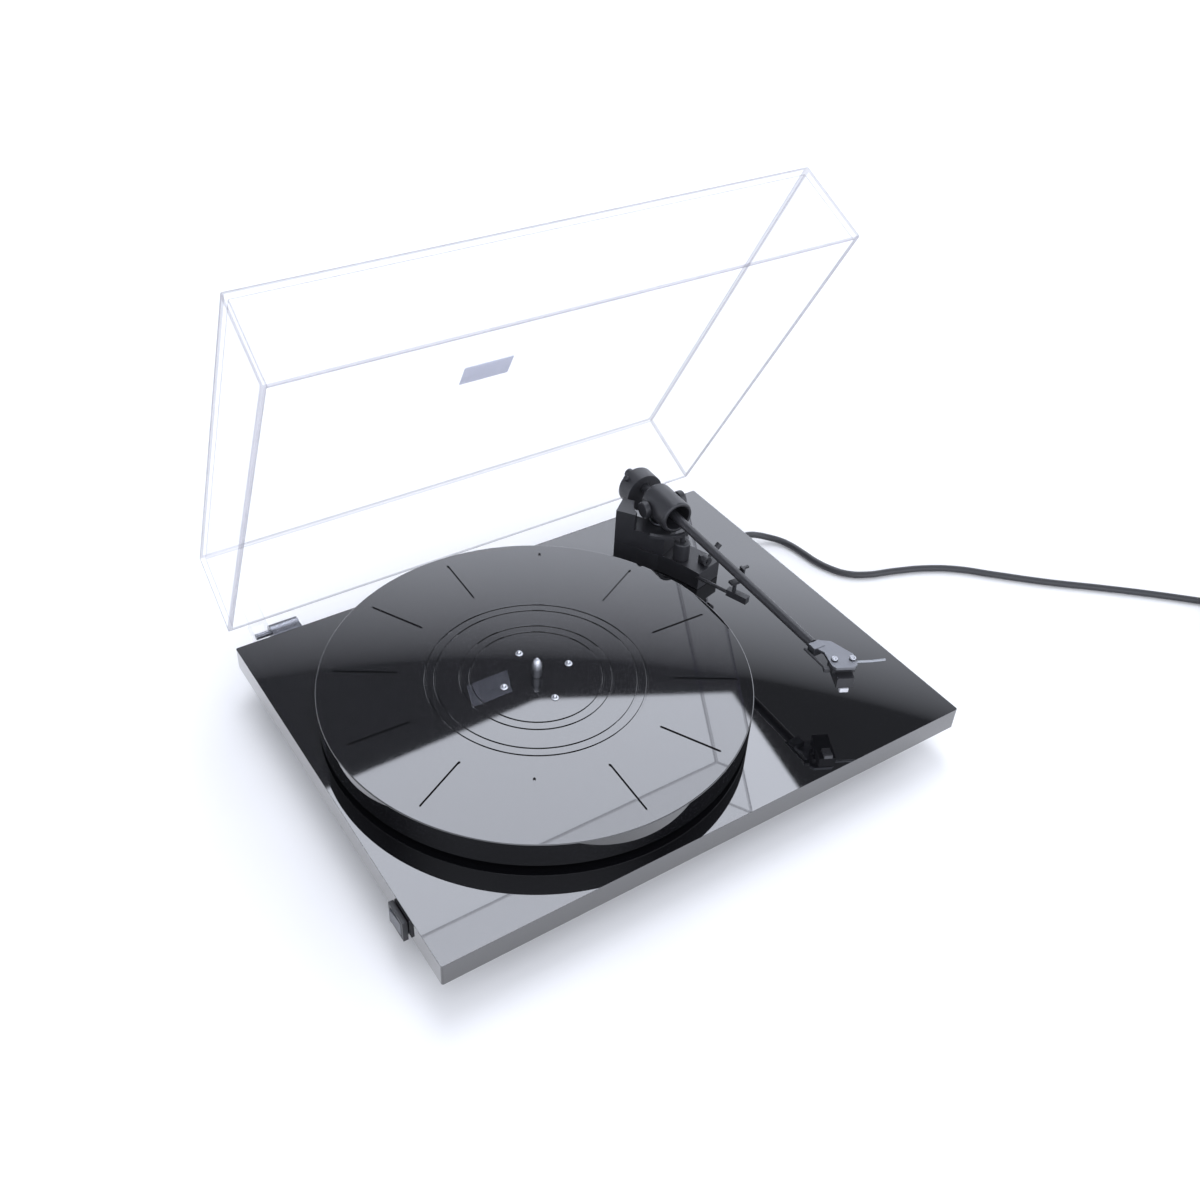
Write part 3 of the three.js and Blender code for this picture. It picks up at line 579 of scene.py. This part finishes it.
make_platter()
make_spindle()
for number in (1, 2, 3, 4):
    make_platter_screw(number)


# ---------------------------------------------------------------- lid
LID_WALL = 2.6
# Face areas in square metres: under the first is a rim or a rounded edge, and the second
# pair bounds the two end walls, whose faces show no wall thickness.
NARROW_FACE = 0.006
END_WALL_FACES = (0.021, 0.03)


def make_lid():
    """The clear cover: its cut rims, and the wall's thickness along its corners, carry the edge colour,
    which is the acrylic's tint along the wall darkened with painted shade for the dark look that refraction
    gives clear edges.
    """
    shell = refined("lid_shell", 0.8, 2)
    mesh = shell.data
    b = bmesh.new()
    b.from_mesh(mesh)
    middle = sum((v.co for v in b.verts), Vector()) / len(b.verts)
    low, high = END_WALL_FACES
    outer = [
        f for f in b.faces
        if f.calc_area() > NARROW_FACE and not low < f.calc_area() < high
        and (f.calc_center_median() - middle).dot(f.normal) > 0
    ]
    bmesh.ops.inset_individual(b, faces=outer, thickness=LID_WALL * MM)
    for f in b.faces:
        # Narrow faces take the edge colour, the acrylic's tint darkened with painted shade.
        f.material_index = 1 if f.calc_area() < NARROW_FACE else 0
    b.to_mesh(mesh)
    b.free()
    mesh.materials.append(EDGE_TINT_AND_SHADE)


make_lid()
for side in ("left", "right"):
    refined(f"lid_hinge_tab_{side}", 0.5)
    refined(f"lid_pad_{side}", 0.4)
    refined(f"hinge_bracket_{side}", 0.6).data.materials[0] = HINGE_METAL
refined("lid_badge", 0.2)


# ---------------------------------------------------------------- everything else
# The radius in mm to which each remaining CAD piece's sharp edges are rounded.
EDGE_R = {
    "plinth": 0.5, "motor_body": 1, "motor_plate": 0.3, "subplatter": 0.5,
    "arm_base": 0.9, "arm_pedestal": 1.2,
    "lift_cylinder": 0.5, "lift_bar": 0.6, "cue_lever": 0.4, "arm_rest": 0.4, "arm_rest_rod": 0.2,
    "bearing_housing": 0.7, "bearing_cap_left": 0.9, "bearing_cap_right": 0.9,
    "yaw_shaft": 0.3, "pivot_pin": 0.2,
    "arm_tube": 0.4, "headshell": 0.4, "cartridge_body": 0.6, "stylus_unit": 0.4,
    "finger_lift": 0.2, "lead_guide": 0.3, "counterweight": 1.1, "weight_lock_screw": 0.4,
    "switch_bezel": 0.5, "switch_rocker": 0.3,
    "supply_box": 1.5, "socket_box": 1,
    "signal_socket_left": 0.3, "signal_socket_right": 0.3, "ground_post": 0.3,
    "main_bearing_housing": 0.4, "motor_pulley": 0.3, "drive_belt": 0.15,
    "cartridge_screw_left": 0.25, "cartridge_screw_right": 0.25,
    "foot_front_left": 1, "foot_front_right": 1, "foot_rear_left": 1, "foot_rear_right": 1,
}
for cad_node, edge in EDGE_R.items():
    refined(cad_node, edge)


# ---------------------------------------------------------------- studio
FLOOR_REACH = 9
FLOOR_BELOW = 0.0002
# The panel's corners as azimuth and elevation in degrees, and a direction inside it.
PANEL_CORNERS = ((80, 48), (58, 43.5), (46, 42.4), (34, 50), (22, 82), (110, 82))
PANEL_INSIDE = (55, 62)
PANEL_SOFTNESS = 0.004
# Elevations in degrees: the backdrop fades over the first pair, the overhead light grows
# over the second.
BACKDROP_FADE = (36.5, 41.8)
OVERHEAD_RISE = (55, 66)
DARK_SIDE_AZIMUTH = 145
PANEL_LIGHT, BACKDROP_LIGHT, BEHIND_LIGHT, OVERHEAD_LIGHT, BASE_LIGHT = 4.1, 1.85, 0.7, 0.9, 0.1
SEEN_LIGHT = 1.05
LIGHT_TINT = (0.93, 0.97, 1.08, 1)


def direction(azimuth, elevation):
    a, e = math.radians(azimuth), math.radians(elevation)
    return Vector((math.cos(a) * math.cos(e), math.sin(a) * math.cos(e), math.sin(e)))


def make_floor():
    mesh = bpy.data.meshes.new("floor")
    reach = FLOOR_REACH
    corners = [(-reach, -reach, 0), (reach, -reach, 0), (reach, reach, 0), (-reach, reach, 0)]
    mesh.from_pydata(corners, [], [(0, 1, 2, 3)])
    floor = bpy.data.objects.new("floor", mesh)
    bpy.context.scene.collection.objects.link(floor)
    floor.location.z = -FLOOR_BELOW
    n, made = material("floor_paper")
    grain = n.noise(30, 2)
    n.surface(
        Base_Color=n.colours(grain, (0.93, 0.92, 0.90), (0.94, 0.93, 0.91)),
        Roughness=0.9,
        Specular_IOR_Level=0.1,
    )
    mesh.materials.append(made)


def make_studio():
    """A panel high behind the player, a pale backdrop that fades upwards, and soft fills.

    Rays from the camera itself see an even white instead.
    """
    world = bpy.data.worlds.new("studio")
    bpy.context.scene.world = world
    n = Nodes(world)
    heading = n.add("ShaderNodeTexCoord").outputs["Generated"]

    def along(vector):
        node = n.add("ShaderNodeVectorMath", operation="DOT_PRODUCT")
        n.link(heading, node.inputs[0])
        node.inputs[1].default_value = vector
        return node.outputs["Value"]

    def sine(elevation):
        return math.sin(math.radians(elevation))

    corners = [direction(*corner) for corner in PANEL_CORNERS]
    middle = direction(*PANEL_INSIDE)
    panel = 1.0
    for first, second in zip(corners, corners[1:] + corners[:1]):
        normal = first.cross(second).normalized()
        if normal.dot(middle) < 0:
            normal = -normal
        panel = n.math("MULTIPLY", panel, n.ramp(along(normal), 0.0, PANEL_SOFTNESS))

    height = along(Vector((0, 0, 1)))
    low_edge, high_edge = (sine(elevation) for elevation in BACKDROP_FADE)
    fade = n.math("POWER", n.ramp(height, low_edge, high_edge, 1, 0, smooth=False), 0.7)
    side = n.ramp(along(direction(DARK_SIDE_AZIMUTH, 0)), 0.1, 0.4, 1, 0.3)
    backdrop = n.math("MULTIPLY", fade, side)
    flat_view = Vector((VIEW.x, VIEW.y, 0)).normalized()
    behind = n.ramp(along(-flat_view), 0.1, 0.6)
    overhead = n.ramp(height, *(sine(elevation) for elevation in OVERHEAD_RISE))

    panel_light = n.math("MULTIPLY", panel, PANEL_LIGHT)
    light = n.math("ADD", panel_light, n.math("MULTIPLY", backdrop, BACKDROP_LIGHT))
    light = n.math("ADD", light, n.math("MULTIPLY", behind, BEHIND_LIGHT))
    light = n.math("ADD", light, n.math("MULTIPLY", overhead, OVERHEAD_LIGHT))
    light = n.math("ADD", light, BASE_LIGHT)
    seen = n.add("ShaderNodeLightPath").outputs["Is Camera Ray"]
    unseen = n.math("MULTIPLY", light, n.math("SUBTRACT", 1.0, seen))
    light = n.math("ADD", unseen, n.math("MULTIPLY", seen, SEEN_LIGHT))
    background = n.add("ShaderNodeBackground")
    background.inputs["Color"].default_value = LIGHT_TINT
    n.link(light, background.inputs["Strength"])
    n.link(background.outputs[0], n.add("ShaderNodeOutputWorld").inputs[0])
    bpy.context.scene.view_settings.view_transform = "Standard"


make_floor()
make_studio()
